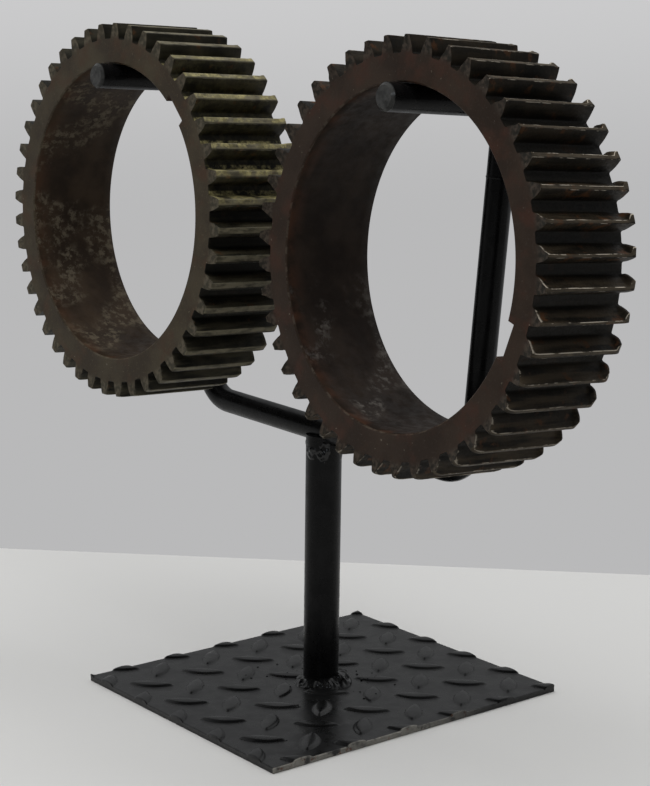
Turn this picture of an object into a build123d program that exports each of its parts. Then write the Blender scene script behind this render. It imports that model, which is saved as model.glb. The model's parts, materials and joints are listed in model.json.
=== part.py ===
from build123d import *
import os
from math import acos, cos, pi, radians, sin, tan

os.makedirs("parts", exist_ok=True)

# Two spur ring gears hung on a welded steel display stand.
# Millimetres. +Z is up, -Y is the front, where the pegs point.
# The origin is on the underside of the base plate, below the post.

# Base plate: a rectangle of tread plate with two families of raised lugs.
PLATE_WIDTH = 197.5
PLATE_DEPTH = 222.0
PLATE_THICK = 3.2
LUG_PITCH = 39.8
LUG_LENGTH = 29.0
LUG_WIDTH = 10.5
LUG_HEIGHT = 1.4
LUG_TAPER = 40.0
LUG_ANGLE = 45.0
LUG_OFFSET_X = -20.6
LUG_OFFSET_Y = -9.7
LUG_REACH = 4

# Post: round bar that leans slightly to the right.
POST_DIAMETER = 22.5
POST_TOP_X = 2.7
BAR_AXIS_Z = 167.3
POST_TOP_Z = 165.0

# Bent bar: crossbar and two uprights, one length of round bar.
BAR_DIAMETER = 15.4
BEND_RADIUS = 23.0
LEFT_CORNER = (-119.6, -2.5, 172.1)
RIGHT_CORNER = (134.4, 3.0, 162.1)
LEFT_TOP = (-110.7, -4.5, 380.4)
RIGHT_TOP = (147.3, 12.5, 371.1)

# Pegs: elbows butt-welded onto the uprights, pointing forward and slightly up.
SEAM_DROP = 40.0
PEG_LENGTH = 88.2
PEG_END_CHAMFER = 1.6
LEFT_PEG_TURN = 1.2
LEFT_PEG_RISE = 2.2
RIGHT_PEG_TURN = 0.0
RIGHT_PEG_RISE = 3.3

# Welds.
FOOT_WELD_REACH = 9.0
FOOT_WELD_HEIGHT = 8.0
FOOT_WELD_TOP_REACH = 1.5
SADDLE_WELD_RADIUS = 6.0
SADDLE_WELD_LENGTH = 15.0
SADDLE_WELD_OUT = 7.5
SADDLE_WELD_DROP = 8.5

# Ring gears: diametral pitch 5, 44 teeth, 14.5 degree pressure angle.
TEETH = 44
MODULE = 5.08
PRESSURE_ANGLE = 14.5
ADDENDUM = 1.0
DEDENDUM = 1.157
FACE_WIDTH = 60.3
BORE_RADIUS = 92.1
PEG_CLEARANCE = 0.3
FACE_GAP = 16.3
TOOTH_PHASE = 6.6
KEYWAY_WIDTH = 20.0
KEYWAY_DEPTH = 3.8
LEFT_KEYWAY_ANGLE = 43.5
RIGHT_KEYWAY_ANGLE = -20.0
RIGHT_FRONT_BEVEL = 2.5
SMALL_BEVEL = 1.0
FLANK_STEPS = 4

# Values that follow from the driving dimensions.
POST_RADIUS = POST_DIAMETER / 2
BAR_RADIUS = BAR_DIAMETER / 2
PITCH_RADIUS = MODULE * TEETH / 2
TIP_RADIUS = PITCH_RADIUS + ADDENDUM * MODULE
ROOT_RADIUS = PITCH_RADIUS - DEDENDUM * MODULE
BASE_RADIUS = PITCH_RADIUS * cos(radians(PRESSURE_ANGLE))
CUTTER_LENGTH = 3 * FACE_WIDTH
POST_TOP = Vector(POST_TOP_X, 0, BAR_AXIS_Z)
POST_FOOT = Vector(0, 0, PLATE_THICK)


def lug(x, y, angle):
    """One lens-shaped raised lug, standing on the plate."""
    half_length = LUG_LENGTH / 2
    half_width = LUG_WIDTH / 2
    ends = [(-half_length, 0), (half_length, 0)]
    lower = ThreePointArc(ends[0], (0, -half_width), ends[1])
    upper = ThreePointArc(ends[1], (0, half_width), ends[0])
    lens = make_face(Curve() + [lower, upper])
    return Pos(x, y, PLATE_THICK) * Rot(0, 0, angle) * extrude(lens, LUG_HEIGHT, taper=LUG_TAPER)


def base_plate():
    """Tread plate: lugs of one family sit midway between those of the other, a quarter turn round."""
    plate = Pos(0, 0, PLATE_THICK / 2) * Box(PLATE_WIDTH, PLATE_DEPTH, PLATE_THICK)
    sheared = Pos(0, 0, PLATE_THICK) * Box(PLATE_WIDTH, PLATE_DEPTH, 2 * LUG_HEIGHT)
    lugs = []
    for row in range(-LUG_REACH, LUG_REACH + 1):
        for place in range(-LUG_REACH, LUG_REACH + 1):
            x = LUG_OFFSET_X + place * LUG_PITCH
            y = LUG_OFFSET_Y + row * LUG_PITCH
            lugs.append(lug(x, y, LUG_ANGLE))
            lugs.append(lug(x + LUG_PITCH / 2, y + LUG_PITCH / 2, -LUG_ANGLE))
    for bump in lugs:
        box = bump.bounding_box()
        on_plate_x = box.max.X > -PLATE_WIDTH / 2 and box.min.X < PLATE_WIDTH / 2
        on_plate_y = box.max.Y > -PLATE_DEPTH / 2 and box.min.Y < PLATE_DEPTH / 2
        if on_plate_x and on_plate_y:
            plate += bump & sheared
    return plate - post_blank()


def rod(points, radius):
    """Round bar bent along a path of straight runs and tangent arcs."""
    path = FilletPolyline(*points, radius=BEND_RADIUS)
    section = Plane(origin=path @ 0, z_dir=path % 0) * Circle(radius)
    return sweep(section, path=path)


def seam_point(corner, top):
    """Point on an upright's axis where the peg elbow is welded on."""
    run = Vector(*top) - Vector(*corner)
    return Vector(*top) - run.normalized() * SEAM_DROP


def post_blank():
    """Post before its saddle is cut, from the top of the plate to just under the bar's axis."""
    lean = (POST_TOP - POST_FOOT).normalized()
    length = (POST_TOP_Z - PLATE_THICK) / lean.Z
    return Plane(origin=POST_FOOT, z_dir=lean) * extrude(Circle(POST_RADIUS), length)


def bent_bar():
    """Left upright, crossbar and right upright in one bent length."""
    left_seam = seam_point(LEFT_CORNER, LEFT_TOP)
    right_seam = seam_point(RIGHT_CORNER, RIGHT_TOP)
    return rod([left_seam, LEFT_CORNER, RIGHT_CORNER, right_seam], BAR_RADIUS)


def peg_direction(turn, rise):
    """Unit vector from an upright towards its peg's free end."""
    level = cos(radians(rise))
    return Vector(level * sin(radians(turn)), -level * cos(radians(turn)), sin(radians(rise)))


def peg(corner, top, turn, rise):
    """Elbow and peg, with a chamfered free end."""
    end = Vector(*top) + peg_direction(turn, rise) * PEG_LENGTH
    solid = rod([seam_point(corner, top), top, end], BAR_RADIUS)
    rim = solid.edges().filter_by(GeomType.CIRCLE).sort_by(lambda edge: (edge.arc_center - end).length)[0]
    return chamfer(rim, PEG_END_CHAMFER)


def foot_weld(post, plate):
    """Fillet weld round the post's foot, flowing over the lugs beside it."""
    cone = Cone(
        POST_RADIUS + FOOT_WELD_REACH,
        POST_RADIUS + FOOT_WELD_TOP_REACH,
        FOOT_WELD_HEIGHT,
        align=(Align.CENTER, Align.CENTER, Align.MIN),
    )
    return Pos(0, 0, PLATE_THICK) * cone - post - plate


def saddle_weld(side, post, bar):
    """Bead where the crossbar sits on the post, in front (-1) or behind (1)."""
    bead = Rot(0, 90, 0) * Cylinder(SADDLE_WELD_RADIUS, SADDLE_WELD_LENGTH)
    place = Pos(POST_TOP_X, side * SADDLE_WELD_OUT, BAR_AXIS_Z - SADDLE_WELD_DROP)
    return place * bead - post - bar


def involute_angle(radius):
    """Polar angle of an involute at a radius, from its start on the base circle."""
    pressure = acos(min(1.0, BASE_RADIUS / radius))
    return tan(pressure) - pressure


def polar(radius, angle):
    """Point in the plane of the gear, with the angle in radians."""
    return (radius * cos(angle), radius * sin(angle))


def flank_points(centre, side):
    """Points up one involute flank, from the base circle to the tip."""
    half_tooth = pi / (2 * TEETH) + involute_angle(PITCH_RADIUS)
    points = []
    for step in range(FLANK_STEPS + 1):
        radius = BASE_RADIUS + (TIP_RADIUS - BASE_RADIUS) * step / FLANK_STEPS
        points.append(polar(radius, centre + side * (half_tooth - involute_angle(radius))))
    return points


def gear_outline():
    """Closed outline of all the teeth, with rounded roots."""
    pitch = 2 * pi / TEETH
    edges = []
    for tooth in range(TEETH):
        centre = radians(TOOTH_PHASE) + tooth * pitch
        rising = flank_points(centre, -1)
        falling = flank_points(centre, 1)
        next_foot = flank_points(centre + pitch, -1)[0]
        edges.append(Spline(*rising))
        edges.append(ThreePointArc(rising[-1], polar(TIP_RADIUS, centre), falling[-1]))
        edges.append(Spline(*reversed(falling)))
        edges.append(ThreePointArc(falling[0], polar(ROOT_RADIUS, centre + pitch / 2), next_foot))
    return make_face(Curve() + edges)


def bevelled_blank(front_bevel, rear_bevel):
    """Turned disc whose outer corners bevel the tooth ends; its rear face is at zero."""
    section = Polyline(
        (0, 0),
        (TIP_RADIUS - rear_bevel, 0),
        (TIP_RADIUS, rear_bevel),
        (TIP_RADIUS, FACE_WIDTH - front_bevel),
        (TIP_RADIUS - front_bevel, FACE_WIDTH),
        (0, FACE_WIDTH),
        close=True,
    )
    return revolve(Plane.XZ * make_face(section), Axis.Z)


def ring_gear(keyway_angle, front_bevel):
    """Spur ring gear with a plain bore and one shallow keyway; local +Z is towards the front."""
    teeth = extrude(gear_outline(), FACE_WIDTH) & bevelled_blank(front_bevel, SMALL_BEVEL)
    keyway_floor = BORE_RADIUS + KEYWAY_DEPTH
    bore = Cylinder(BORE_RADIUS, CUTTER_LENGTH)
    keyway = Pos(keyway_floor / 2, 0, 0) * Box(keyway_floor, KEYWAY_WIDTH, CUTTER_LENGTH)
    return teeth - bore - Rot(0, 0, keyway_angle) * keyway


def hung(gear, top, turn, rise):
    """Gear placed on its peg, square to it, with the top of the bore just clear of the peg."""
    forward = peg_direction(turn, rise)
    across = Vector(cos(radians(turn)), sin(radians(turn)), 0)
    up = forward.cross(across)
    drop = BORE_RADIUS - BAR_RADIUS - PEG_CLEARANCE
    centre = Vector(*top) + forward * FACE_GAP - up * drop
    return Plane(origin=centre, x_dir=across, z_dir=forward) * gear


def build():
    """All the pieces by name."""
    plate = base_plate()
    bar = bent_bar()
    post = post_blank() - bar
    left_gear = ring_gear(LEFT_KEYWAY_ANGLE, SMALL_BEVEL)
    right_gear = ring_gear(RIGHT_KEYWAY_ANGLE, RIGHT_FRONT_BEVEL)
    return {
        "base_plate": plate,
        "post": post,
        "bent_bar": bar,
        "foot_weld": foot_weld(post, plate),
        "front_saddle_weld": saddle_weld(-1, post, bar),
        "rear_saddle_weld": saddle_weld(1, post, bar),
        "left_peg": peg(LEFT_CORNER, LEFT_TOP, LEFT_PEG_TURN, LEFT_PEG_RISE),
        "right_peg": peg(RIGHT_CORNER, RIGHT_TOP, RIGHT_PEG_TURN, RIGHT_PEG_RISE),
        "left_ring_gear": hung(left_gear, LEFT_TOP, LEFT_PEG_TURN, LEFT_PEG_RISE),
        "right_ring_gear": hung(right_gear, RIGHT_TOP, RIGHT_PEG_TURN, RIGHT_PEG_RISE),
    }


for name, solid in build().items():
    export_step(solid, f"parts/{name}.step")
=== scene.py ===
import json
import math

import bmesh
import bpy
import numpy as np
from mathutils import Matrix, Vector, noise


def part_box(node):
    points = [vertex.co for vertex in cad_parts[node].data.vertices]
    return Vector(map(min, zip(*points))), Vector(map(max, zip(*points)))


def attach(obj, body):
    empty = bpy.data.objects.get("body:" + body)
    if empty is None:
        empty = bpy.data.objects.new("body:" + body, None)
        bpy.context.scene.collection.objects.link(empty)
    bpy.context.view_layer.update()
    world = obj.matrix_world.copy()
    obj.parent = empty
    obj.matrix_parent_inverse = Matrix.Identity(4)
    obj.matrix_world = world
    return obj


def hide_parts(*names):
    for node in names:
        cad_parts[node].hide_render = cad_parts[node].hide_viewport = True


# Two worn spur ring gears hung on a black welded stand with a tread plate base.
# Metres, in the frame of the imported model: +Z up, -Y the way the pegs point.
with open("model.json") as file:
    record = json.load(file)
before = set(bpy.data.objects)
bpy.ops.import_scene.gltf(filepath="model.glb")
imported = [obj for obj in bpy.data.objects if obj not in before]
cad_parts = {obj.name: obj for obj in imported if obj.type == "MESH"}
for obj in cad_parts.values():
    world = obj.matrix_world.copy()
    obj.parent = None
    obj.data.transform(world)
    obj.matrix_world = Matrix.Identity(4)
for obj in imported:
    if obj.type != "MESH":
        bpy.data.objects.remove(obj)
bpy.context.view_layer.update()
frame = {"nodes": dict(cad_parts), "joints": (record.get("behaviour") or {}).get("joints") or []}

MM = 0.001
SEED = 7

# Ring gears.
TEETH = 44
MODULE = 5.08 * MM
PRESSURE_ANGLE = math.radians(14.5)
PITCH_RADIUS = MODULE * TEETH / 2
TIP_RADIUS = PITCH_RADIUS + MODULE - 0.1 * MM
ROOT_RADIUS = PITCH_RADIUS - 0.9 * MODULE
ROOT_FILLET = 1.1 * MM
BASE_RADIUS = PITCH_RADIUS * math.cos(PRESSURE_ANGLE)
BORE_RADIUS = 92.1 * MM
FACE_WIDTH = 60.3 * MM
TOOTH_PHASE = math.radians(6.6)
KEYWAY_WIDTH = 20.0 * MM
KEYWAY_DEPTH = 3.8 * MM
BORE_BEVEL = 0.8 * MM
EDGE_BREAK = 0.25 * MM

# Where the gears' surface is sampled. Each crest row is its distance from the crest's edge, its drop
# below the tip circle and its share of worn edge; each shoulder row is its drop and share.
CREST = ((1.1 * MM, 0.0, 0.0), (0.45 * MM, 0.0, 0.45), (0.15 * MM, 0.02 * MM, 1.0))
SHOULDER = ((0.12 * MM, 1.0), (0.35 * MM, 0.6))
FLANK_DROP = 0.8 * MM
FLANK_STEPS = 5
FILLET_TURNS = (30, 60, 90)
BORE_STATIONS = 10
FACE_STATIONS = 5
ROOT_LAND = 1.2 * MM
END_INSETS = (EDGE_BREAK, 0.7 * MM, 1.6 * MM)
FRONT_INSET = 3.0 * MM
REAR_INSETS = (4.5 * MM, 3.4 * MM, 2.5 * MM)
TOOTH_STATIONS = 24

# Reach of the marks that wear leaves along a tooth.
LIP_REACH = 0.8 * MM
UNWORN_REAR = (1.6 * MM, 3.8 * MM)
ROUNDING_REACH = 4.5 * MM
PROUD_REACH = 4.0 * MM
BURR_REACH = 1.0 * MM
BURR_LIMIT = 0.9 * MM
CREST_GROWTH = 0.09 * MM

# Stand.
POST_RADIUS = 11.25 * MM
BAR_RADIUS = 7.7 * MM
BAR_AXIS_Z = 167.3 * MM
POST_TOP_X = 2.7 * MM
SEAM_DROP = 40.0 * MM
# Lower and upper end of each upright's axis.
UPRIGHTS = {
    "left": (Vector((-119.6, -2.5, 172.1)) * MM, Vector((-110.7, -4.5, 380.4)) * MM),
    "right": (Vector((134.4, 3.0, 162.1)) * MM, Vector((147.3, 12.5, 371.1)) * MM),
}

# Tread plate.
PLATE_WIDTH = 197.5 * MM
PLATE_DEPTH = 222.0 * MM
PLATE_THICK = 3.2 * MM
PLATE_STEP = 0.8 * MM
PLATE_RIM = 0.5 * MM
PLATE_EDGE_DROP = 0.45 * MM
CORNER_BURR = 1.3 * MM
CORNER_BURR_REACH = 1.8 * MM
LUG_PITCH = 39.8 * MM
LUG_LENGTH = 29.0 * MM
LUG_WIDTH = 10.5 * MM
LUG_HEIGHT = 1.7 * MM
LUG_SLOPE = 1.1 * MM
LUG_FLARE = 0.2 * MM
LUG_OFFSET = (-20.6 * MM, -9.7 * MM)

# Welds. The foot weld is roughest towards one side, given by its angle from +X.
ROUGH_SIDE = math.radians(51.8)
SADDLE_TURN = 1.42
SADDLE_TOP_DROP = 1.5 * MM
SEAM_COLUMNS = 64
SEAM_ROWS = 8
SPATTER_DROPS = 34
SPATTER_START = 23 * MM
SPATTER_SPREAD = 26 * MM

# Thin film of dust on the enamel, as a colour.
DUST = (0.006, 0.006, 0.0062)

# Stage: two points on the table's back edge, how far the table reaches past and in front of them, the
# camera's place, its yaw, pitch and roll in degrees, its lens in millimetres, and the walls' strength.
TABLE_BACK = ((-0.420, -0.003), (-0.044, 0.359))
TABLE_REACH = 2.2
TABLE_DEPTH = 2.6
TABLE_THICK = 30 * MM
TABLE_GAP = 0.2 * MM
CAMERA_PLACE = (0.8825, -0.6911, 0.3990)
CAMERA_ANGLES = (51.826, 10.537, 0.192)
CAMERA_LENS = 84.13
WALL_LIGHT = 0.55


# ---------------------------------------------------------------- meshes

def add_object(name, mesh, body, matrix=None):
    """Links a mesh as a piece that moves with a body when one is given."""
    piece = bpy.data.objects.new(name, mesh)
    bpy.context.scene.collection.objects.link(piece)
    if matrix is not None:
        piece.matrix_world = matrix
    if body is not None:
        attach(piece, body)
    return piece


def mesh_from_grid(name, points, closed_rows=False, closed_columns=False):
    """Mesh of quads over a grid of points, shaped rows x columns x 3."""
    rows, columns, _ = points.shape
    mesh = bpy.data.meshes.new(name)
    index = np.arange(rows * columns).reshape(rows, columns)
    if closed_rows:
        index = np.vstack([index, index[:1]])
    if closed_columns:
        index = np.hstack([index, index[:, :1]])
    quads = np.stack([index[:-1, :-1], index[:-1, 1:], index[1:, 1:], index[1:, :-1]], axis=-1)
    mesh.from_pydata(points.reshape(-1, 3).tolist(), [], quads.reshape(-1, 4).tolist())
    return mesh


def set_attribute(mesh, name, values):
    """Stores one number per vertex for the materials to read."""
    attribute = mesh.attributes.new(name, "FLOAT", "POINT")
    attribute.data.foreach_set("value", np.asarray(values, np.float32).ravel())


def shade(mesh, angle):
    """Smooth shading that keeps edges sharper than the angle, in degrees."""
    mesh.shade_smooth()
    mesh.set_sharp_from_angle(angle=math.radians(angle))


def smoothstep(low, high, value):
    """0 below low, 1 above high, smooth between."""
    t = np.clip((value - low) / (high - low), 0, 1)
    return t * t * (3 - 2 * t)


def noise_at(points, size, seed):
    """Smooth noise from about -1 to 1 at each point, with features of the given size."""
    shift = Vector((seed * 3.7, seed * 1.3, -seed * 2.1))
    flat = points.reshape(-1, 3) / size
    return np.array([noise.noise(Vector(p) + shift) for p in flat]).reshape(points.shape[:-1])


# ---------------------------------------------------------------- ring gears

def half_thickness(radius):
    """Angle from a tooth's centre to its flank at a radius."""
    def involute(pressure):
        return math.tan(pressure) - pressure
    pressure = math.acos(min(1.0, BASE_RADIUS / radius))
    return math.pi / (2 * TEETH) + involute(PRESSURE_ANGLE) - involute(pressure)


def half_tooth():
    """(angle, radius, edge, across) from the crest's centre to the root's; across is 1 past the crest."""
    tip_half = half_thickness(TIP_RADIUS) * TIP_RADIUS
    samples = []
    for inset, drop, edge in ((tip_half, 0.0, 0.0),) + CREST:
        place = tip_half - inset
        samples.append((place / TIP_RADIUS, TIP_RADIUS - drop, edge, place / tip_half))
    for drop, edge in SHOULDER:
        samples.append((half_thickness(TIP_RADIUS - drop), TIP_RADIUS - drop, edge, 1.0))
    flank_top = TIP_RADIUS - FLANK_DROP
    flank_foot = ROOT_RADIUS + ROOT_FILLET
    for step in range(FLANK_STEPS + 1):
        radius = flank_top - (flank_top - flank_foot) * step / FLANK_STEPS
        samples.append((half_thickness(radius), radius, 0.0, 1.0))
    for turn in FILLET_TURNS:
        turn = math.radians(turn)
        angle = half_thickness(flank_foot) + ROOT_FILLET * (1 - math.cos(turn)) / ROOT_RADIUS
        samples.append((angle, flank_foot - ROOT_FILLET * math.sin(turn), 0.0, 1.0))
    root_centre = math.pi / TEETH
    samples.append((0.4 * samples[-1][0] + 0.6 * root_centre, ROOT_RADIUS, 0.0, 1.0))
    samples.append((root_centre, ROOT_RADIUS, 0.0, 1.0))
    return samples


def all_teeth():
    """Arrays of angle, radius, edge, across (-1 clockwise, 1 anticlockwise) and tooth, right round."""
    half = half_tooth()
    one = [(-a, r, e, -x) for a, r, e, x in reversed(half[1:])] + half[:-1]
    teeth = [[(a + TOOTH_PHASE + tooth * 2 * math.pi / TEETH, r, e, x, tooth) for a, r, e, x in one]
             for tooth in range(TEETH)]
    return np.array(teeth).reshape(-1, 5).T


def bore_outline(angles, keyway_angle):
    """Angle and radius of the bore's wall at each column, with the keyway's corners made crisp."""
    angles = angles.copy()
    radii = np.full_like(angles, BORE_RADIUS)
    floor = BORE_RADIUS + KEYWAY_DEPTH
    offset = (angles - keyway_angle + math.pi) % (2 * math.pi) - math.pi
    corner = math.asin(KEYWAY_WIDTH / 2 / BORE_RADIUS)
    inside = np.abs(offset) < corner
    radii[inside] = floor / np.cos(offset[inside])
    for side in (-1, 1):
        nearest = np.argmin(np.where(inside, np.abs(offset - side * corner), np.inf))
        outer = np.argmin(np.where(inside, np.inf, np.abs(offset - side * corner)))
        angles[nearest] += side * math.atan2(KEYWAY_WIDTH / 2, floor) - offset[nearest]
        radii[nearest] = math.hypot(KEYWAY_WIDTH / 2, floor)
        angles[outer] += side * corner - offset[outer]
    return angles, radii


class GearRows:
    """Collects the rows of the surface: bore, front face, teeth and rear face."""

    def __init__(self):
        self.rows = []

    def add(self, angles, radii, z, edge, zone):
        """One row right round the gear; zone is 0 on the teeth, 1 on a face and 2 in the bore."""
        full = np.ones_like(angles)
        self.rows.append((angles, radii, z * full, edge * full, zone * full))

    def arrays(self):
        """Each value as an array of rows x columns."""
        return [np.array([row[k] for row in self.rows]) for k in range(5)]


def gear_rows(angles, radii, edge, keyway_angle):
    """The whole surface of a ring gear as rows round it, forming a closed tube."""
    bore_angles, bore_radii = bore_outline(angles, keyway_angle)
    rows = GearRows()
    inner = ROOT_RADIUS - ROOT_LAND

    for station in range(BORE_STATIONS + 1):
        z = BORE_BEVEL + (FACE_WIDTH - 2 * BORE_BEVEL) * station / BORE_STATIONS
        rim = 1.0 if station in (0, BORE_STATIONS) else 0.0
        rows.add(bore_angles, bore_radii, z, rim, 2)

    def face(z, order):
        """Rows over an end face, from the bore's bevel to the teeth's ends, or back."""
        start = bore_radii + BORE_BEVEL
        stations = [(0.0, 1.0), (0.015, 0.3)] + [(s / FACE_STATIONS, 0.0) for s in range(1, FACE_STATIONS)]
        made = []
        for share, rim in stations:
            blend = bore_angles + (angles - bore_angles) * min(1.0, 2 * share)
            made.append((blend, start + (inner - start) * share, rim))
        for share in (0.0, 0.35, 0.7, 0.93, 1.0):
            rim = 0.4 * edge + 0.3 if share == 1.0 else 0.0
            made.append((angles, inner + (radii - EDGE_BREAK - inner) * share, rim))
        for row_angles, row_radii, rim in made[::order]:
            rows.add(row_angles, row_radii, z, rim, 1)

    face(FACE_WIDTH, 1)
    for inset in END_INSETS:
        rows.add(angles, radii, FACE_WIDTH - inset, edge, 0)
    span = FACE_WIDTH - FRONT_INSET - REAR_INSETS[0]
    for station in range(TOOTH_STATIONS + 1):
        rows.add(angles, radii, FACE_WIDTH - FRONT_INSET - span * station / TOOTH_STATIONS, edge, 0)
    for inset in REAR_INSETS[1:] + tuple(reversed(END_INSETS)):
        rows.add(angles, radii, inset, edge, 0)
    face(0.0, -1)
    return rows.arrays()


class Wear:
    """How a ring gear's teeth have worn; lengths in metres."""

    def __init__(self, depth, lip, proud, burr, chips, rounding):
        self.depth = depth        # how far the anticlockwise flank's tip has worn back
        self.lip = lip            # rim left standing at the front end of that flank
        self.proud = proud        # how far the front ends of the tips stand forward
        self.burr = burr          # burrs at the rear ends
        self.chips = chips        # nicks along the crests' edges
        self.rounding = rounding  # how much the tips' ends are rounded off on the lower teeth


class WornSurface:
    """A gear's surface with the shares and noises that shape its wear."""

    def __init__(self, points, arrays, across, tooth, wear, seed):
        self.angles, self.radii, self.z, self.edge, self.zone = arrays
        self.wear = wear
        self.teeth = self.zone == 0
        self.height = np.clip((self.radii - ROOT_RADIUS) / (TIP_RADIUS - ROOT_RADIUS), 0, 1)
        self.coarse = noise_at(points, 14 * MM, seed)
        self.fine = noise_at(points, 3.2 * MM, seed + 1)
        self.lift = np.clip(noise_at(points, 7 * MM, seed + 2) + 0.25, 0, 1)
        self.anticlockwise = across >= 1
        self.lateral = np.where(np.abs(across) < 1, (across + 1) / 2, self.anticlockwise)
        self.each = np.random.default_rng(seed).uniform(0.8, 1.15, TEETH)[tooth.astype(int)]
        self.rear = 1 - smoothstep(*UNWORN_REAR, self.z)
        self.front = np.exp(-np.maximum(FACE_WIDTH - self.z, 0) / LIP_REACH)

    def worn_back(self):
        """How far each place has moved clockwise: the worn flank, less the lip and the rear burrs."""
        hollow = 0.8 * smoothstep(0, 0.7, self.height) + 0.2 * self.height
        slow = 1 + 0.25 * np.cos(self.angles)
        share = self.lateral * hollow * (1 - self.rear)
        back = self.wear.depth * self.each * slow * share * (1 + 0.10 * self.coarse)
        rise = smoothstep(0.1, 0.4, self.height)
        back -= self.wear.lip * self.front * self.lateral * rise * (0.7 + 0.6 * self.fine)
        bulge = np.sin(math.pi * self.height)
        return back - self.wear.burr * self.rear * self.anticlockwise * bulge * self.lift

    def raised(self):
        """How far each place has moved out from the axis: chips, rear burrs and rounded ends."""
        chip = np.clip(self.fine + 0.25 * self.coarse - 0.20, 0, 1)
        nicks = 0.08 * MM * self.coarse * self.height - self.wear.chips * chip * self.edge
        radial = np.where(self.teeth, nicks, 0)
        torn = 0.9 * self.wear.burr * self.rear * np.clip(self.fine - 0.1, 0, 1)
        radial -= np.where(self.teeth & (self.height > 0.8), torn, 0)
        from_end = np.minimum(np.maximum(FACE_WIDTH - self.z, 0), self.z)
        inward = np.clip(1 - from_end / ROUNDING_REACH, 0, 1)
        low_teeth = 1 - smoothstep(-0.7, 0.2, np.sin(self.angles))
        arc = 1 - np.sqrt(1 - inward ** 2)
        return radial - self.wear.rounding * arc * low_teeth * self.height ** 2

    def forward(self):
        """How far each place has moved along the axis: proud tips, uneven faces and rear burrs."""
        reach = smoothstep(FACE_WIDTH - PROUD_REACH, FACE_WIDTH, self.z)
        ahead = self.wear.proud * reach * self.height ** 1.5 * (1 + 0.3 * self.fine)
        ahead += np.where(self.zone == 1, 0.05 * MM * self.coarse, 0)
        at_rear = self.teeth & (self.z < BURR_REACH) & (self.height > 0.4)
        return ahead - np.where(at_rear, 0.8 * self.wear.burr * self.lift * self.height, 0)

    def places(self):
        """Every point of the worn surface."""
        radii = np.minimum(self.radii + self.raised(), TIP_RADIUS + CREST_GROWTH)
        angles = self.angles - self.worn_back() / np.maximum(self.radii, MM)
        z = np.maximum(self.z + self.forward(), -BURR_LIMIT)
        return np.stack([radii * np.cos(angles), radii * np.sin(angles), z], axis=-1)

    def lip(self):
        """Share of bright lip at the front end of each anticlockwise flank."""
        return self.front * self.anticlockwise * smoothstep(0.12, 0.3, self.height) * self.teeth


def gear_frame(joint_name):
    """Matrix from the gear's own axes (x across, y up, z to the front) to the row frame."""
    joint = next(j for j in frame["joints"] if j["name"] == joint_name)
    forward = Vector(joint["axis"]).normalized()
    across = Vector((-forward.y, forward.x, 0)).normalized()
    up = forward.cross(across)
    matrix = Matrix((across, up, forward)).transposed().to_4x4()
    matrix.translation = Vector(joint["pos_m"])
    return matrix


def paint_share(angles, across, teeth, low, high):
    """Share of old paint on the teeth between two angles in degrees, thinner on the clockwise flanks."""
    low = math.radians(low)
    high = math.radians(high)
    around = (angles + math.pi) % (2 * math.pi) - math.pi
    past_low = smoothstep(low - 0.15, low + 0.05, around)
    past_high = smoothstep(high - 0.05, high + 0.2, around)
    return past_low * (1 - past_high) * np.where(across > -0.4, 1.0, 0.1) * teeth


def ring_gear(node, body, keyway, wear, materials, seed, paint=None):
    """A worn ring gear that stands for its CAD node; paint is the span of its painted teeth in degrees."""
    column_angles, column_radii, column_edge, across, tooth = all_teeth()
    arrays = gear_rows(column_angles, column_radii, column_edge, math.radians(keyway))
    angles, radii, z, edge, zone = arrays
    points = np.stack([radii * np.cos(angles), radii * np.sin(angles), z], axis=-1)
    surface = WornSurface(points, arrays, across, tooth, wear, seed)
    mesh = mesh_from_grid(node + "_worn", surface.places(), closed_rows=True, closed_columns=True)
    set_attribute(mesh, "edge", np.where(surface.teeth, edge * np.where(across > 0, 1.0, 0.55), edge))
    set_attribute(mesh, "lip", surface.lip())
    set_attribute(mesh, "height", surface.height)
    set_attribute(mesh, "across", across * np.ones_like(z))
    painted = np.zeros_like(z)
    if paint is not None:
        painted = paint_share(angles, across, surface.teeth, *paint)
    set_attribute(mesh, "paint", painted)
    for material in materials:
        mesh.materials.append(material)
    row_zone = zone[:, 0].astype(int)
    face_zone = np.minimum(row_zone, np.roll(row_zone, -1))
    mesh.polygons.foreach_set("material_index", np.repeat(face_zone, zone.shape[1]))
    shade(mesh, 50)
    piece = add_object(node + "_worn", mesh, body, gear_frame(body + "_spin"))
    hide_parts(node)
    return piece


# ---------------------------------------------------------------- tread plate

def lug_field(x, y):
    """Height of the raised lugs over the plate's top at each x and y."""
    bow = (LUG_LENGTH ** 2 - LUG_WIDTH ** 2) / (4 * LUG_WIDTH)
    arc = bow + LUG_WIDTH / 2
    height = np.zeros_like(x)
    for half in (0, 1):
        turn = math.radians(45 - 90 * half)
        px = x - LUG_OFFSET[0] - half * LUG_PITCH / 2
        py = y - LUG_OFFSET[1] - half * LUG_PITCH / 2
        px = px - LUG_PITCH * np.round(px / LUG_PITCH)
        py = py - LUG_PITCH * np.round(py / LUG_PITCH)
        along = px * math.cos(turn) + py * math.sin(turn)
        across = -px * math.sin(turn) + py * math.cos(turn)
        inside = arc - np.hypot(along, np.abs(across) + bow)
        dome = 1 - (1 - np.clip(2 * inside / LUG_WIDTH, 0, 1)) ** 2
        lug = 0.5 * smoothstep(-LUG_FLARE, LUG_SLOPE, inside) + 0.5 * dome
        height = np.maximum(height, LUG_HEIGHT * lug)
    return height


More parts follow.
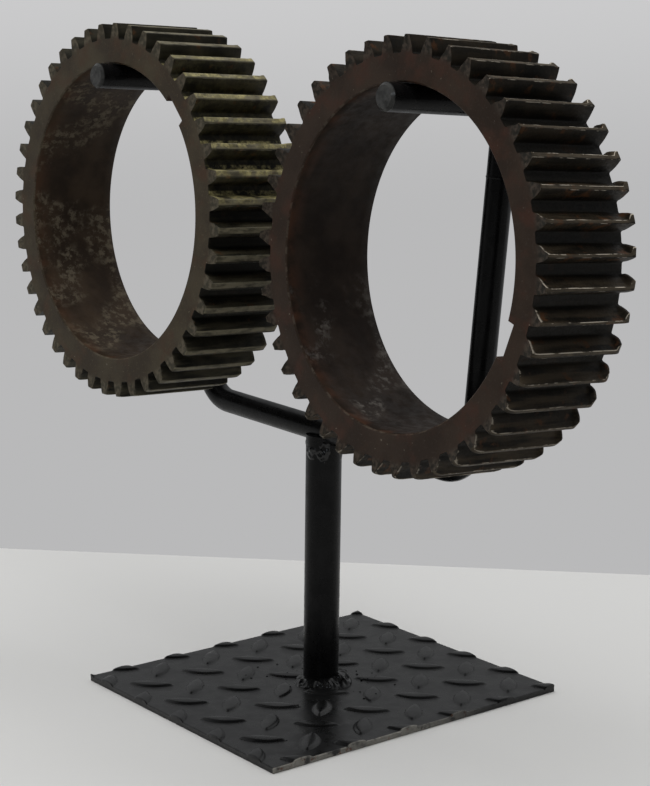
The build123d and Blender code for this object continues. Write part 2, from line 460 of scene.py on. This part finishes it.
def plate_top(build):
    """Adds the plate's lugged top, uneven at the rim and one corner; gives the rim's vertices in order."""
    def stations(length):
        """Even places along one side, with one more at each rim."""
        count = round(length / PLATE_STEP)
        inner = np.linspace(PLATE_RIM - length / 2, length / 2 - PLATE_RIM, count)
        return np.concatenate([[-length / 2], inner, [length / 2]])

    x, y = np.meshgrid(stations(PLATE_WIDTH), stations(PLATE_DEPTH))
    spots = np.stack([x, y, np.zeros_like(x)], axis=-1)
    z = PLATE_THICK + lug_field(x, y) + 0.04 * MM * noise_at(spots, 5 * MM, 3)
    from_rim = np.minimum(PLATE_WIDTH / 2 - np.abs(x), PLATE_DEPTH / 2 - np.abs(y))
    ragged = noise_at(spots, 4 * MM, 5)
    z -= np.where(from_rim < 0.1 * MM, PLATE_EDGE_DROP + 0.25 * MM * ragged, 0)
    from_corner = (x + PLATE_WIDTH / 2) ** 2 + (y + PLATE_DEPTH / 2) ** 2
    z += CORNER_BURR * np.exp(-from_corner / CORNER_BURR_REACH ** 2)
    rows, columns = x.shape
    top = [[build.verts.new((x[r, c], y[r, c], z[r, c])) for c in range(columns)] for r in range(rows)]
    for r in range(rows - 1):
        for c in range(columns - 1):
            build.faces.new((top[r][c], top[r][c + 1], top[r + 1][c + 1], top[r + 1][c]))
    right = [row[-1] for row in top[1:]]
    left = [row[0] for row in top[-2:0:-1]]
    return top[0] + right + top[-1][-2::-1] + left


def plate_sides(build, around):
    """Adds the plate's slightly wavy sheared sides below its rim, and its underside."""
    levels = [around]
    for share in (0.66, 0.33, 0.0):
        level = []
        for vertex in around:
            spot = Vector((vertex.co.x, vertex.co.y, 0))
            wave = noise.noise(Vector((spot.x, spot.y, share)) * 300)
            inset = 0.15 * MM * wave - 0.15 * MM
            lower = spot + spot.normalized() * inset
            level.append(build.verts.new((lower.x, lower.y, PLATE_THICK * share)))
        levels.append(level)
    count = len(around)
    for upper, lower in zip(levels, levels[1:]):
        for i in range(count):
            j = (i + 1) % count
            build.faces.new((upper[j], upper[i], lower[i], lower[j]))
    build.faces.new(list(reversed(levels[-1])))


def tread_plate(material):
    """Sheared tread plate that stands for its CAD node."""
    mesh = bpy.data.meshes.new("tread_plate")
    build = bmesh.new()
    plate_sides(build, plate_top(build))
    build.normal_update()
    build.to_mesh(mesh)
    build.free()
    mesh.materials.append(material)
    shade(mesh, 50)
    piece = add_object("tread_plate", mesh, "stand")
    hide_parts("base_plate")
    return piece


# ---------------------------------------------------------------- welds

def weld_piece(name, grid, ring, node, material):
    """Weld metal that stands for its CAD node, from rows of points that go right round its section."""
    mesh = mesh_from_grid(name, grid, closed_rows=True, closed_columns=ring)
    build = bmesh.new()
    build.from_mesh(mesh)
    bmesh.ops.holes_fill(build, edges=[e for e in build.edges if e.is_boundary])
    bmesh.ops.recalc_face_normals(build, faces=build.faces)
    build.to_mesh(mesh)
    build.free()
    mesh.materials.append(material)
    mesh.shade_smooth()
    piece = add_object(name, mesh, "stand")
    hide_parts(node)
    return piece


def round_axis(far, angles, high, centre_x=0.0):
    """Points from distances, angles and heights about an upright axis."""
    return np.stack([centre_x + far * np.cos(angles), far * np.sin(angles), high], axis=-1)


def foot_weld(material):
    """Lumpy collar of weld between the post's foot and the plate, higher and rougher on one side."""
    angles = np.linspace(0, 2 * math.pi, 280, endpoint=False)[None, :]
    share = np.linspace(0, 1, 30)[:, None]
    rough = 0.5 + 0.5 * np.cos(angles - ROUGH_SIDE)
    reach = (7.4 + 1.8 * rough) * MM
    rise = (4.8 + 2.8 * rough ** 2) * MM
    sunk = 0.6 * MM
    far = POST_RADIUS - sunk + (reach + sunk) * share
    high = PLATE_THICK - sunk + rise * (1 - share ** 1.6)
    spots = round_axis(far, angles, high)
    coarse = noise_at(spots, 6.5 * MM, 31)
    fine = noise_at(spots, 3.0 * MM, 37)
    ripple = np.abs(np.sin(13 * angles + 2.5 * share + 2.5 * coarse)) - 0.5
    swell = (1.6 + 0.9 * rough) * coarse + 1.0 * fine + 0.35 * rough * ripple
    lump = MM * swell * np.sin(math.pi * np.clip(0.12 + 0.8 * share, 0, 1))
    far = np.vstack([far + 0.7 * lump, np.full_like(angles, POST_RADIUS - 1.4 * MM)])
    high = np.vstack([high + 0.9 * lump, np.full_like(angles, PLATE_THICK - 1.6 * MM)])
    weld_piece("foot_weld_bead", round_axis(far, angles, high), True, "foot_weld", material)


def saddle_weld(side, name, node, material, seed):
    """Lumpy patch of weld from the crossbar down the post, in front (-1) or behind (1)."""
    turn = np.linspace(-SADDLE_TURN, SADDLE_TURN, 170)[None, :]
    share = np.linspace(0, 1, 44)[:, None]
    ends = np.sqrt(np.clip(1 - (turn / SADDLE_TURN) ** 2, 0, 1))
    run = 8.5 + 7.0 * np.exp(-((turn - 1.0) / 0.32) ** 2) + 1.2 * np.sin(4 * turn + seed)
    bottom = BAR_AXIS_Z - BAR_RADIUS - (1 + run * ends) * MM
    top = BAR_AXIS_Z - SADDLE_TOP_DROP
    high = top + (bottom - top) * share
    in_bar = np.minimum(7.1 * MM / np.maximum(np.cos(turn), 0.3), 10.6 * MM)
    thick = 1.7 * MM * ends * (1 - share) ** 0.7 - 0.4 * MM
    out = smoothstep(0, 0.6, share)
    far = in_bar * (1 - out) + (POST_RADIUS + thick) * out
    angles = side * (math.pi / 2 - turn)
    spots = round_axis(far, angles, high)
    lump = 1.6 * noise_at(spots, 5.0 * MM, seed) + 0.9 * noise_at(spots, 2.4 * MM, seed + 1)
    far = far + lump * MM * ends * np.sin(math.pi * np.clip(share, 0, 0.96))
    back_of_weld = np.minimum(far, POST_RADIUS)[::-1] - 3 * MM
    far = np.vstack([far, back_of_weld])
    high = np.vstack([high, high[::-1]])
    weld_piece(name, round_axis(far, angles, high, POST_TOP_X), False, node, material)


def seam_ring(side, material, rng):
    """Thin uneven ring of weld left where a peg's elbow is butted onto an upright."""
    foot, top = UPRIGHTS[side]
    direction = (top - foot).normalized()
    centre = top - direction * SEAM_DROP
    turn = direction.to_track_quat("Z", "Y").to_matrix()
    points = np.zeros((SEAM_COLUMNS, SEAM_ROWS, 3))
    for column in range(SEAM_COLUMNS):
        angle = 2 * math.pi * column / SEAM_COLUMNS
        proud = (0.28 + rng.uniform(-0.12, 0.12)) * MM
        width = (0.75 + rng.uniform(-0.15, 0.15)) * MM
        for row in range(SEAM_ROWS):
            around = 2 * math.pi * row / SEAM_ROWS
            far = BAR_RADIUS - 0.1 * MM + proud * math.cos(around)
            spot = Vector((far * math.cos(angle), far * math.sin(angle), width * math.sin(around)))
            points[column, row] = centre + turn @ spot
    mesh = mesh_from_grid(side + "_seam_bead", points, closed_rows=True, closed_columns=True)
    mesh.materials.append(material)
    mesh.shade_smooth()
    return add_object(side + "_seam_bead", mesh, "stand")


def spatter(material, rng):
    """Small drops of weld metal thrown on the plate round the post."""
    build = bmesh.new()
    for _ in range(SPATTER_DROPS):
        angle = rng.uniform(0, 2 * math.pi)
        far = SPATTER_START + SPATTER_SPREAD * rng.uniform(0, 1) ** 1.6
        size = rng.uniform(0.3, 0.95) * MM
        x = far * math.cos(angle)
        y = far * math.sin(angle)
        ground = PLATE_THICK + float(lug_field(np.array([x]), np.array([y]))[0])
        place = Matrix.Translation((x, y, ground + 0.1 * size))
        flattened = place @ Matrix.Diagonal((size, size, 0.75 * size, 1))
        bmesh.ops.create_icosphere(build, subdivisions=2, radius=1, matrix=flattened)
    mesh = bpy.data.meshes.new("weld_spatter")
    build.to_mesh(mesh)
    build.free()
    mesh.materials.append(material)
    mesh.shade_smooth()
    return add_object("weld_spatter", mesh, "stand")


# ---------------------------------------------------------------- materials

class Nodes:
    """Short names for the shader nodes that the materials share."""

    def __init__(self, name):
        self.material = bpy.data.materials.new(name)
        self.material.use_nodes = True
        self.tree = self.material.node_tree
        self.shader = self.tree.nodes["Principled BSDF"]
        self.place = self.tree.nodes.new("ShaderNodeTexCoord").outputs["Object"]

    def link(self, value, socket):
        """Sets a socket to a number or colour, or links it to another node's output."""
        if isinstance(value, bpy.types.NodeSocket):
            self.tree.links.new(value, socket)
        else:
            socket.default_value = value

    def noise(self, size, detail=4.0, roughness=0.55, stretch=(1, 1, 1), shift=0.0):
        """Noise with features of the given size in metres."""
        mapping = self.tree.nodes.new("ShaderNodeMapping")
        mapping.inputs["Scale"].default_value = stretch
        mapping.inputs["Location"].default_value = (shift, shift, shift)
        self.tree.links.new(self.place, mapping.inputs["Vector"])
        node = self.tree.nodes.new("ShaderNodeTexNoise")
        node.inputs["Scale"].default_value = 1 / size
        node.inputs["Detail"].default_value = detail
        node.inputs["Roughness"].default_value = roughness
        self.tree.links.new(mapping.outputs["Vector"], node.inputs["Vector"])
        return node.outputs["Fac"]

    def along(self, axis):
        """Distance from the origin along the object's own X, Y or Z."""
        node = self.tree.nodes.new("ShaderNodeSeparateXYZ")
        self.tree.links.new(self.place, node.inputs["Vector"])
        return node.outputs[axis]

    def attribute(self, name):
        """A number stored on the mesh."""
        node = self.tree.nodes.new("ShaderNodeAttribute")
        node.attribute_name = name
        return node.outputs["Fac"]

    def calc(self, operation, first, second=0.0):
        """One sum on two numbers, kept between 0 and 1."""
        node = self.tree.nodes.new("ShaderNodeMath")
        node.operation = operation
        node.use_clamp = True
        self.link(first, node.inputs[0])
        self.link(second, node.inputs[1])
        return node.outputs[0]

    def between(self, value, low, high, start=0.0, end=1.0):
        """Maps low..high to start..end, smoothly."""
        node = self.tree.nodes.new("ShaderNodeMapRange")
        node.interpolation_type = "SMOOTHSTEP"
        self.link(value, node.inputs["Value"])
        for key, number in (("From Min", low), ("From Max", high), ("To Min", start), ("To Max", end)):
            node.inputs[key].default_value = number
        return node.outputs["Result"]

    def mix(self, share, first, second):
        """Blend of two colours."""
        node = self.tree.nodes.new("ShaderNodeMix")
        node.data_type = "RGBA"
        self.link(share, node.inputs["Factor"])
        self.link(first if isinstance(first, bpy.types.NodeSocket) else (*first, 1), node.inputs["A"])
        self.link(second if isinstance(second, bpy.types.NodeSocket) else (*second, 1), node.inputs["B"])
        return node.outputs["Result"]

    def bump(self, height, strength, distance, normal=None):
        """Relief in the shading."""
        node = self.tree.nodes.new("ShaderNodeBump")
        node.inputs["Strength"].default_value = strength
        node.inputs["Distance"].default_value = distance
        self.link(height, node.inputs["Height"])
        if normal is not None:
            self.link(normal, node.inputs["Normal"])
        return node.outputs["Normal"]

    def finish(self, colour, roughness, metallic, normal, specular=0.5):
        """Connects the shader and returns the material."""
        self.link(colour, self.shader.inputs["Base Color"])
        self.link(roughness, self.shader.inputs["Roughness"])
        self.link(metallic, self.shader.inputs["Metallic"])
        self.link(normal, self.shader.inputs["Normal"])
        self.shader.inputs["Specular IOR Level"].default_value = specular
        return self.material


def repaint(node, material):
    """Gives a CAD node its detailed material."""
    mesh = frame["nodes"][node].data
    mesh.materials.clear()
    mesh.materials.append(material)


def enamel(name, dust, gloss, specular, dusty_end=None):
    """Black enamel with an uneven dust film and orange peel; dusty_end is the Y of a dusty end face."""
    n = Nodes(name)
    film = n.between(n.noise(16 * MM, 5), 0.42, 0.68)
    colour = n.mix(film, (0.003, 0.003, 0.0032), dust)
    specks = n.between(n.noise(1.4 * MM, 2, shift=0.3), 0.70, 0.78)
    colour = n.mix(n.calc("MULTIPLY", specks, 0.35), colour, (0.04, 0.04, 0.038))
    if dusty_end is not None:
        at_end = n.between(n.along("Y"), dusty_end + 1.6 * MM, dusty_end + 2.6 * MM, 1.0, 0.0)
        patchy = n.between(n.noise(4 * MM, 5, shift=0.6), 0.30, 0.62, 0.35, 1.0)
        colour = n.mix(n.calc("MULTIPLY", at_end, patchy), colour, (0.050, 0.050, 0.048))
    rough = n.between(n.noise(9 * MM, 4, shift=0.1), 0.3, 0.7, gloss, gloss + 0.13)
    peel = n.bump(n.noise(2.2 * MM, 2), 0.12, 0.3 * MM)
    normal = n.bump(n.noise(12 * MM, 2, shift=0.2), 0.10, 1.0 * MM, peel)
    return n.finish(colour, rough, 0.0, normal, specular)


def plate_paint():
    """Black enamel on the tread plate, worn to bare and rusty metal along the sheared right edge."""
    n = Nodes("plate_enamel")
    film = n.between(n.noise(20 * MM, 5), 0.40, 0.70)
    colour = n.mix(film, (0.003, 0.003, 0.0031), (0.007, 0.007, 0.007))
    side = n.between(n.along("X"), PLATE_WIDTH / 2 - 1.1 * MM, PLATE_WIDTH / 2 - 0.35 * MM)
    near = n.between(n.along("Y"), -10 * MM, 60 * MM, 1.0, 0.0)
    ragged = n.between(n.noise(7 * MM, 6), 0.30, 0.50)
    bare = n.calc("MULTIPLY", n.calc("MULTIPLY", side, near), ragged)
    metal = n.mix(n.noise(2.5 * MM, 4), (0.10, 0.095, 0.08), (0.27, 0.26, 0.235))
    rust = n.between(n.noise(3.5 * MM, 5, shift=0.4), 0.60, 0.72)
    metal = n.mix(rust, metal, (0.10, 0.035, 0.015))
    colour = n.mix(bare, colour, metal)
    rough = n.between(n.noise(11 * MM, 4, shift=0.1), 0.3, 0.7, 0.24, 0.36)
    rough = n.calc("MAXIMUM", rough, n.calc("MULTIPLY", bare, 0.55))
    peel = n.bump(n.noise(1.8 * MM, 2), 0.10, 0.25 * MM)
    normal = n.bump(n.noise(9 * MM, 3, shift=0.2), 0.16, 0.8 * MM, peel)
    return n.finish(colour, rough, 0.0, normal, 0.34)


def iron_teeth(name, grime_and_root_shade, middle, light, rust, bright, rust_share, paint, crest_colour, shine):
    """Old iron on the teeth: roots darkened with painted shade, streaked flanks with painted light on the
    anticlockwise ones, dusty crests and bright worn edges that dim lower down as painted shade.
    """
    n = Nodes(name)
    patch = n.noise(13 * MM, 6)
    streak = n.noise(5 * MM, 6, stretch=(1, 1, 0.12), shift=0.2)
    fine = n.noise(1.3 * MM, 5, shift=0.5)
    height = n.attribute("height")
    across = n.attribute("across")
    colour = n.mix(n.between(patch, 0.38, 0.66), grime_and_root_shade, middle)
    # painted light: the lighter streaks are weighted onto the anticlockwise flanks, standing in for light
    # falling on them
    painted_lit_flank = n.between(across, 0.2, 0.9, 0.35, 1.0)
    streaks = n.calc("MULTIPLY", n.between(streak, 0.42, 0.66), painted_lit_flank)
    colour = n.mix(n.calc("MULTIPLY", streaks, 0.75), colour, light)
    spots = n.between(n.noise(9 * MM, 6, shift=0.9), 0.60 - rust_share, 0.70 - rust_share)
    colour = n.mix(n.calc("MULTIPLY", spots, 0.75), colour, rust)
    # painted shade: the colour darkens towards the tooth roots, where shade falls between the teeth
    colour = n.mix(n.between(height, 0.0, 0.5, 0.85, 0.0), colour, grime_and_root_shade)
    on_crest = n.calc("MULTIPLY", n.between(height, 0.95, 0.99), n.between(across, -0.75, -0.35))
    patchy = n.between(n.noise(3 * MM, 6, shift=1.7, stretch=(1, 1, 0.4)), 0.32, 0.60, 0.25, 0.95)
    colour = n.mix(n.calc("MULTIPLY", on_crest, patchy), colour, crest_colour)
    cover = n.between(n.noise(7 * MM, 7, 0.6, shift=1.4), 0.40, 0.56)
    painted = n.calc("MULTIPLY", n.attribute("paint"), cover)
    painted = n.calc("MULTIPLY", painted, n.between(fine, 0.25, 0.55))
    tint = n.between(n.noise(4 * MM, 5, shift=2.6), 0.35, 0.65)
    colour = n.mix(painted, colour, n.mix(tint, tuple(0.4 * c for c in paint), paint))
    broken = n.between(n.noise(3 * MM, 6, 0.6, shift=0.7, stretch=(1, 1, 0.35)), 0.40, 0.60)
    worn_edge = n.between(n.calc("MULTIPLY", n.attribute("edge"), broken), 0.30, 0.75, 0.0, shine)
    lip = n.between(n.calc("MULTIPLY", n.attribute("lip"), broken), 0.12, 0.5, 0.0, shine)
    # painted shade: the bright worn edges and lips dim towards the bottom of the gear
    painted_low_shade = n.between(n.along("Y"), -70 * MM, 5 * MM, 0.35, 1.0)
    worn_edge = n.calc("MULTIPLY", n.calc("MAXIMUM", worn_edge, lip), painted_low_shade)
    colour = n.mix(worn_edge, colour, bright)
    rough = n.between(fine, 0.3, 0.7, 0.42, 0.66)
    rough = n.calc("SUBTRACT", rough, n.calc("MULTIPLY", worn_edge, 0.15))
    metallic = n.calc("MULTIPLY", worn_edge, 0.5)
    pits = n.bump(fine, 0.35, 0.25 * MM)
    normal = n.bump(streak, 0.35, 0.5 * MM, pits)
    return n.finish(colour, rough, metallic, normal, 0.16)


def iron_face(name, dark, middle, rust, pale, fleck_and_rim_highlight, tooth_end_shade):
    """Old iron on an end face: soft patches, pale flecks, worn rims lightened partly as a painted
    highlight, and tooth ends darkened as painted shade.
    """
    n = Nodes(name)
    patch = n.noise(28 * MM, 6)
    fine = n.noise(1.6 * MM, 5, shift=0.5)
    colour = n.mix(n.between(patch, 0.36, 0.66), dark, middle)
    rusty = n.between(n.noise(17 * MM, 6, shift=0.8), 0.48, 0.68)
    colour = n.mix(n.calc("MULTIPLY", rusty, 0.8), colour, rust)
    colour = n.mix(n.calc("MULTIPLY", n.between(fine, 0.50, 0.75), 0.45), colour, pale)
    # painted shade: the tooth ends are darkened against the rest of the face
    on_tooth = n.between(n.attribute("height"), 0.0, 0.3)
    ends = n.calc("MULTIPLY", on_tooth, n.between(patch, 0.3, 0.6, 0.6, 1.0))
    shaded_end_colour = n.mix(n.between(n.noise(3 * MM, 6, shift=0.2), 0.40, 0.62), tooth_end_shade, pale)
    colour = n.mix(ends, colour, shaded_end_colour)
    fleck = n.between(n.noise(2.4 * MM, 3, shift=1.9), 0.70, 0.75)
    colour = n.mix(n.calc("MULTIPLY", fleck, 0.7), colour, fleck_and_rim_highlight)
    # painted highlight over real wear: the rims of the bore and of the tooth ends are lightened
    rim = n.calc("MULTIPLY", n.attribute("edge"), n.between(n.noise(5 * MM, 5, shift=0.7), 0.42, 0.62))
    rim = n.between(rim, 0.3, 1.0, 0.0, 0.22)
    colour = n.mix(rim, colour, fleck_and_rim_highlight)
    rough = n.between(fine, 0.3, 0.7, 0.42, 0.62)
    pits = n.bump(fine, 0.30, 0.25 * MM)
    normal = n.bump(n.noise(7 * MM, 4, shift=0.4), 0.20, 0.6 * MM, pits)
    return n.finish(colour, rough, 0.0, normal, 0.12)


def iron_bore(name, dark, middle, pale, rust, patchiness, level):
    """Old iron in the bore: dark brown, mottled paler patches below a level, and rust near the front rim.
    """
    n = Nodes(name)
    patch = n.noise(24 * MM, 7, 0.6)
    fine = n.noise(5.5 * MM, 8, 0.7, shift=0.5)
    colour = n.mix(n.between(patch, 0.35, 0.68), dark, middle)
    where = n.between(n.noise(42 * MM, 4, shift=2.3), 0.56 - patchiness, 0.70 - patchiness)
    low_down = n.between(n.along("Y"), level - 15 * MM, level + 15 * MM, 1.0, 0.0)
    pale_patches = n.calc("MULTIPLY", n.calc("MULTIPLY", where, low_down), n.between(fine, 0.46, 0.62))
    colour = n.mix(n.calc("MULTIPLY", pale_patches, 0.8), colour, pale)
    front = n.between(n.along("Z"), FACE_WIDTH - 14 * MM, FACE_WIDTH)
    reddish = n.calc("MULTIPLY", front, n.between(n.noise(15 * MM, 5, shift=1.1), 0.40, 0.62))
    colour = n.mix(n.calc("MULTIPLY", reddish, 0.8), colour, rust)
    rough = n.between(fine, 0.3, 0.7, 0.42, 0.66)
    pits = n.bump(fine, 0.30, 0.35 * MM)
    return n.finish(colour, rough, 0.0, pits, 0.10)


# ---------------------------------------------------------------- stage, lights and camera

def flat_material(name, colour, roughness):
    """Plain material for the stage."""
    n = Nodes(name)
    tone = n.mix(n.noise(0.4, 3), colour, tuple(0.97 * c for c in colour))
    return n.finish(tone, roughness, 0.0, n.bump(n.noise(2 * MM, 2), 0.02, 0.1 * MM), 0.3)


def table_top():
    """Pale table whose back edge passes behind the stand."""
    a, b = (Vector((*p, 0)) for p in TABLE_BACK)
    along = (b - a).normalized()
    towards = Vector((along.y, -along.x, 0))
    middle = (a + b) / 2
    corners = [middle - along * TABLE_REACH, middle + along * TABLE_REACH]
    corners += [corners[1] + towards * TABLE_DEPTH, corners[0] + towards * TABLE_DEPTH]
    build = bmesh.new()
    upper = [build.verts.new(c - Vector((0, 0, TABLE_GAP))) for c in corners]
    lower = [build.verts.new(c - Vector((0, 0, TABLE_THICK))) for c in corners]
    build.faces.new(upper)
    build.faces.new(list(reversed(lower)))
    for i in range(4):
        j = (i + 1) % 4
        build.faces.new((upper[j], upper[i], lower[i], lower[j]))
    bmesh.ops.recalc_face_normals(build, faces=build.faces)
    mesh = bpy.data.meshes.new("table_top")
    build.to_mesh(mesh)
    build.free()
    mesh.materials.append(flat_material("table_white", (0.71, 0.705, 0.69), 0.6))
    table = add_object("table_top", mesh, None)


def soft_room(back):
    """World light: pale walls behind and beside, dark overhead; the camera sees a plain grey backdrop."""
    world = bpy.data.worlds.new("soft_room")
    bpy.context.scene.world = world
    world.use_nodes = True
    tree = world.node_tree
    tree.nodes.clear()
    direction = tree.nodes.new("ShaderNodeTexCoord").outputs["Generated"]

    def ramp(towards, low, high, start, end):
        """Smooth change from start to end as the view turns towards a direction."""
        dot = tree.nodes.new("ShaderNodeVectorMath")
        dot.operation = "DOT_PRODUCT"
        tree.links.new(direction, dot.inputs[0])
        dot.inputs[1].default_value = towards
        change = tree.nodes.new("ShaderNodeMapRange")
        change.interpolation_type = "SMOOTHSTEP"
        tree.links.new(dot.outputs["Value"], change.inputs["Value"])
        for key, number in (("From Min", low), ("From Max", high), ("To Min", start), ("To Max", end)):
            change.inputs[key].default_value = number
        return change.outputs["Result"]

    def times(first, second):
        """Product of two numbers."""
        node = tree.nodes.new("ShaderNodeMath")
        node.operation = "MULTIPLY"
        tree.links.new(first, node.inputs[0])
        tree.links.new(second, node.inputs[1])
        return node.outputs[0]

    walls = ramp(tuple(back), -0.5, 0.3, 0.12, WALL_LIGHT)
    walls = times(walls, ramp(tuple(back), 0.70, 0.98, 1.0, 0.52))
    walls = times(walls, ramp((0, 0, 1), 0.78, 0.96, 1.0, 0.08))
    light = tree.nodes.new("ShaderNodeBackground")
    light.inputs["Color"].default_value = (0.97, 0.985, 1.0, 1)
    tree.links.new(walls, light.inputs["Strength"])
    seen = tree.nodes.new("ShaderNodeBackground")
    seen.inputs["Color"].default_value = (1.0, 1.0, 1.01, 1)
    tree.links.new(ramp((0, 0, 1), -0.09, 0.05, 0.485, 0.60), seen.inputs["Strength"])
    choose = tree.nodes.new("ShaderNodeMixShader")
    path = tree.nodes.new("ShaderNodeLightPath")
    tree.links.new(path.outputs["Is Camera Ray"], choose.inputs["Fac"])
    tree.links.new(light.outputs[0], choose.inputs[1])
    tree.links.new(seen.outputs[0], choose.inputs[2])
    output = tree.nodes.new("ShaderNodeOutputWorld")
    tree.links.new(choose.outputs[0], output.inputs["Surface"])


def area_light(name, place, target, size, power, colour, glossy):
    """Square soft light aimed at a point, seen only in reflections or only as even light."""
    data = bpy.data.lights.new(name, "AREA")
    data.size = size
    data.energy = power
    data.color = colour
    lamp = bpy.data.objects.new(name, data)
    bpy.context.scene.collection.objects.link(lamp)
    lamp.location = place
    lamp.rotation_mode = "QUATERNION"
    lamp.rotation_quaternion = (Vector(target) - Vector(place)).to_track_quat("-Z", "Y")
    lamp.visible_camera = False
    lamp.visible_glossy = glossy
    lamp.visible_diffuse = not glossy


def camera():
    """Camera at the front right, a little above the gears' axes."""
    yaw, pitch, roll = (math.radians(a) for a in CAMERA_ANGLES)
    data = bpy.data.cameras.new("camera")
    data.lens = CAMERA_LENS
    data.sensor_width = 36
    data.sensor_fit = "AUTO"
    eye = bpy.data.objects.new("camera", data)
    bpy.context.scene.collection.objects.link(eye)
    look = Vector((-math.sin(yaw) * math.cos(pitch), math.cos(yaw) * math.cos(pitch), -math.sin(pitch)))
    level = Vector((math.cos(yaw), math.sin(yaw), 0))
    up = level.cross(look)
    right = math.cos(roll) * level + math.sin(roll) * up
    eye.matrix_world = Matrix((right, right.cross(look), -look)).transposed().to_4x4()
    eye.location = CAMERA_PLACE
    bpy.context.scene.camera = eye
    return look


bpy.context.scene.view_settings.view_transform = "Standard"
look = camera()
back = Vector((look.x, look.y, 0)).normalized()
soft_room(back)
table_top()
area_light("overhead", place=(0.1, -0.2, 1.9), target=(0, 0, 0.3), size=2.4, power=41,
           colour=(1, 1, 1), glossy=False)
area_light("front_glint", place=(1.1, -1.2, 1.0), target=(0, 0, 0.2), size=0.25, power=3.0,
           colour=(0.85, 0.92, 1.0), glossy=True)

rng = np.random.default_rng(SEED)
stand_enamel = enamel("black_enamel", DUST, gloss=0.22, specular=0.13)
weld_enamel = enamel("weld_enamel", DUST, gloss=0.13, specular=0.38)
tread_plate(plate_paint())
foot_weld(weld_enamel)
saddle_weld(-1, "front_saddle_bead", "front_saddle_weld", weld_enamel, seed=51)
saddle_weld(1, "rear_saddle_bead", "rear_saddle_weld", weld_enamel, seed=71)
spatter(weld_enamel, rng)
for side in UPRIGHTS:
    seam_ring(side, stand_enamel, rng)
for side in UPRIGHTS:
    low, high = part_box(side + "_peg")
    repaint(side + "_peg", enamel(side + "_peg_enamel", DUST, gloss=0.22, specular=0.12, dusty_end=low.y))
repaint("post", stand_enamel)
repaint("bent_bar", stand_enamel)

left_teeth = iron_teeth(
    "left_teeth", grime_and_root_shade=(0.007, 0.0064, 0.0042), middle=(0.026, 0.023, 0.0145),
    light=(0.070, 0.061, 0.038), rust=(0.070, 0.032, 0.012), bright=(0.28, 0.26, 0.20),
    rust_share=0.0, paint=(0.37, 0.325, 0.15), crest_colour=(0.155, 0.138, 0.092), shine=0.40)
left_face = iron_face(
    "left_face", dark=(0.038, 0.028, 0.0175), middle=(0.062, 0.049, 0.030),
    rust=(0.062, 0.034, 0.019), pale=(0.105, 0.088, 0.060), fleck_and_rim_highlight=(0.17, 0.15, 0.115),
    tooth_end_shade=(0.042, 0.037, 0.024))
left_bore = iron_bore(
    "left_bore", dark=(0.021, 0.0135, 0.0082), middle=(0.044, 0.029, 0.0175),
    pale=(0.13, 0.108, 0.075), rust=(0.060, 0.030, 0.017), patchiness=0.10, level=95 * MM)
right_teeth = iron_teeth(
    "right_teeth", grime_and_root_shade=(0.0058, 0.0050, 0.0034), middle=(0.020, 0.015, 0.0095),
    light=(0.060, 0.045, 0.028), rust=(0.080, 0.034, 0.013), bright=(0.66, 0.59, 0.48),
    rust_share=0.03, paint=(0.30, 0.27, 0.10), crest_colour=(0.066, 0.052, 0.034), shine=1.0)
right_face = iron_face(
    "right_face", dark=(0.024, 0.015, 0.0098), middle=(0.038, 0.0245, 0.0165),
    rust=(0.053, 0.0225, 0.0140), pale=(0.060, 0.046, 0.035), fleck_and_rim_highlight=(0.17, 0.145, 0.11),
    tooth_end_shade=(0.015, 0.0135, 0.0095))
right_bore = iron_bore(
    "right_bore", dark=(0.012, 0.0078, 0.0054), middle=(0.025, 0.0168, 0.0117),
    pale=(0.13, 0.118, 0.105), rust=(0.058, 0.026, 0.015), patchiness=0.03, level=-25 * MM)
left_wear = Wear(depth=0.5 * MM, lip=0.1 * MM, proud=0.15 * MM, burr=0.2 * MM, chips=0.25 * MM,
                 rounding=0.6 * MM)
right_wear = Wear(depth=2.5 * MM, lip=0.7 * MM, proud=1.3 * MM, burr=1.2 * MM, chips=0.40 * MM,
                  rounding=3.0 * MM)
ring_gear("left_ring_gear", "left_gear", 43.5, left_wear,
          (left_teeth, left_face, left_bore), 11, paint=(9, 55))
ring_gear("right_ring_gear", "right_gear", -20.0, right_wear,
          (right_teeth, right_face, right_bore), 23)
